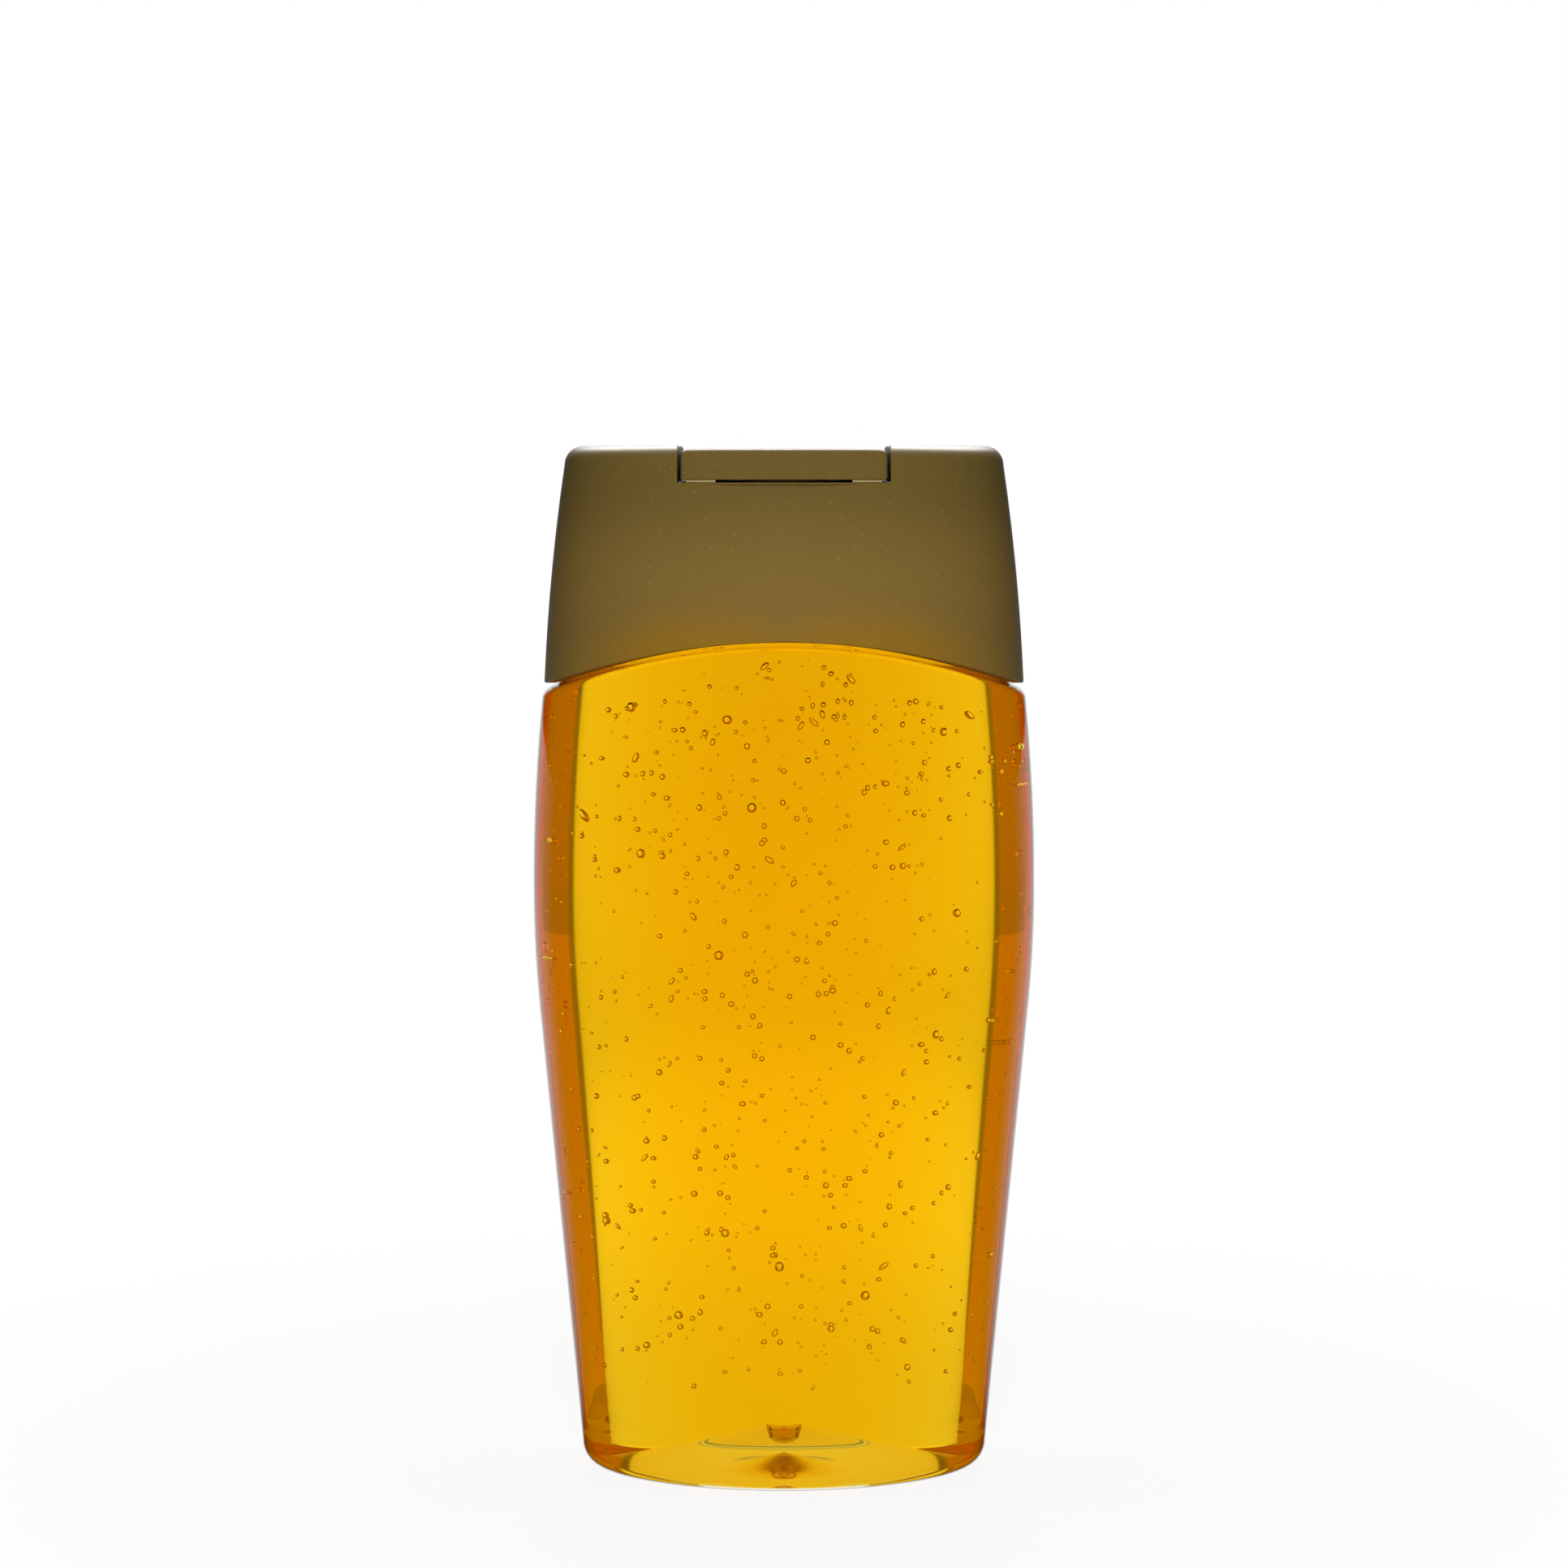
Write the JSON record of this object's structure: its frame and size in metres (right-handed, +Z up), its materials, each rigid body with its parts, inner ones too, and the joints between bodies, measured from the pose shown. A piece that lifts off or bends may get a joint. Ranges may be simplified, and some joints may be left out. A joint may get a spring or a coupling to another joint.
{
  "type": "squeeze bottle",
  "caption": "Clear oval squeeze bottle full of honey, with an arched push-on closure, a hinged flip lid and a slit valve under its spout.",
  "frame": {"origin": "on the standing surface, under the middle of the bottle", "axes": "+Z up along the bottle, X across its width, +Y towards the lid's thumb lip, -Y towards the lid's hinge"},
  "size_m": [0.08, 0.05, 0.1638],
  "materials": {
    "clear_pet": "gloss",
    "honey": "gloss",
    "cap_plastic": "satin",
    "silicone": "satin",
    "natural_plastic": "satin"
  },
  "bodies": {
    "bottle": {"bottle": "clear_pet", "honey": "honey"},
    "cap": {"cap_body": "cap_plastic", "slit_valve": "silicone", "valve_retainer": "natural_plastic", "hinge_strap_left": "cap_plastic", "hinge_strap_right": "cap_plastic"},
    "lid": {"flip_lid": "cap_plastic"}
  },
  "joints": [
    {"name": "cap_pull", "type": "slide", "parent": "bottle", "child": "cap", "axis": [0, 0, 1], "range_m": [0, 0.036]},
    {"name": "lid_hinge", "type": "hinge", "parent": "cap", "child": "lid", "pos_m": [0, -0.0204, 0.15842], "axis": [1, 0, 0], "range_deg": [0, 120], "deforming": ["hinge_strap_left", "hinge_strap_right"]}
  ]
}
